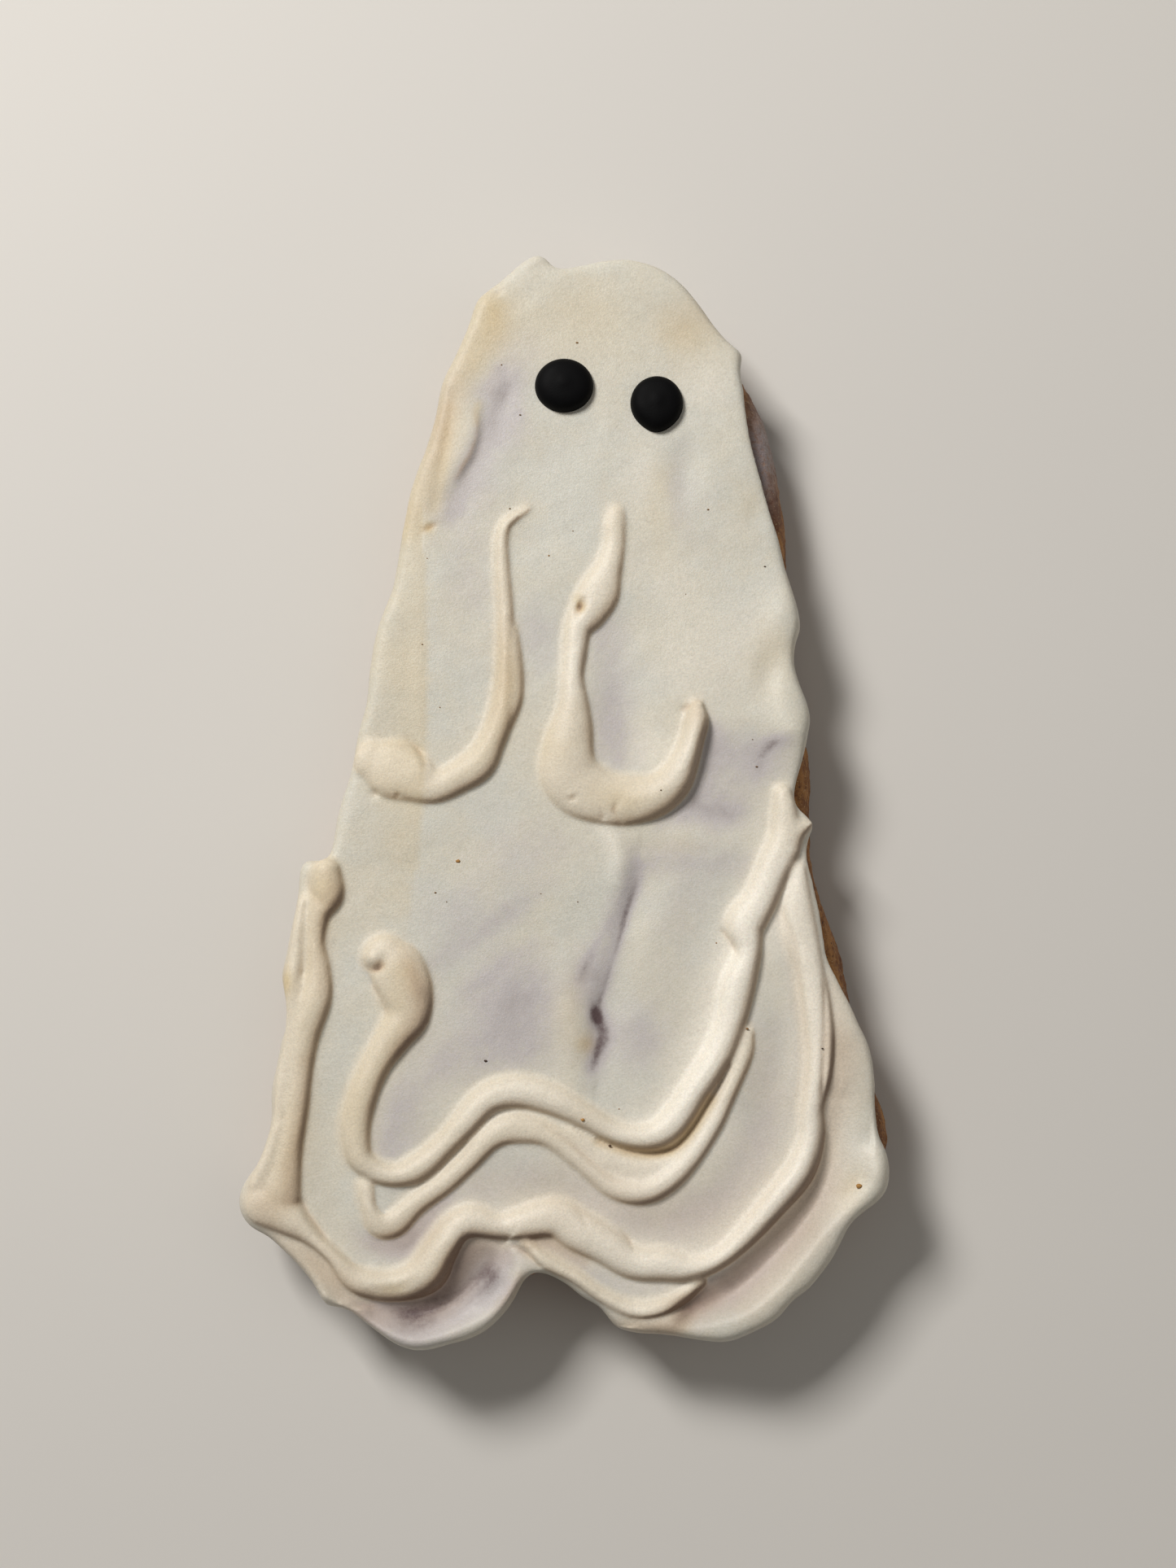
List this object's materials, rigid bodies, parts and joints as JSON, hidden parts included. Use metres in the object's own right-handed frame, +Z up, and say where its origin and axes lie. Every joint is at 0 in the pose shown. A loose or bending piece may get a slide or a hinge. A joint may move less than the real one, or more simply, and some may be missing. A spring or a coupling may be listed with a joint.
{
  "type": "dog biscuit",
  "caption": "Ghost-shaped dog biscuit with a thick cream icing coat, piped icing lines and black icing dot eyes, lying flat.",
  "frame": {"origin": "on the supporting surface, under the middle of the footprint", "axes": "+Z up through the thickness, +Y towards the ghost's head, +X to the right seen from above with the head at the top"},
  "size_m": [0.064, 0.1094, 0.0131],
  "materials": {
    "baked_biscuit": "rough crumbly baked dough, matte",
    "cream_icing": "set cream icing, satin, faintly grey where thin",
    "black_icing": "set black icing, satin gloss"
  },
  "bodies": {
    "root": {"biscuit": "baked_biscuit", "icing": "cream_icing", "eye_left": "black_icing", "eye_right": "black_icing"}
  },
  "joints": []
}
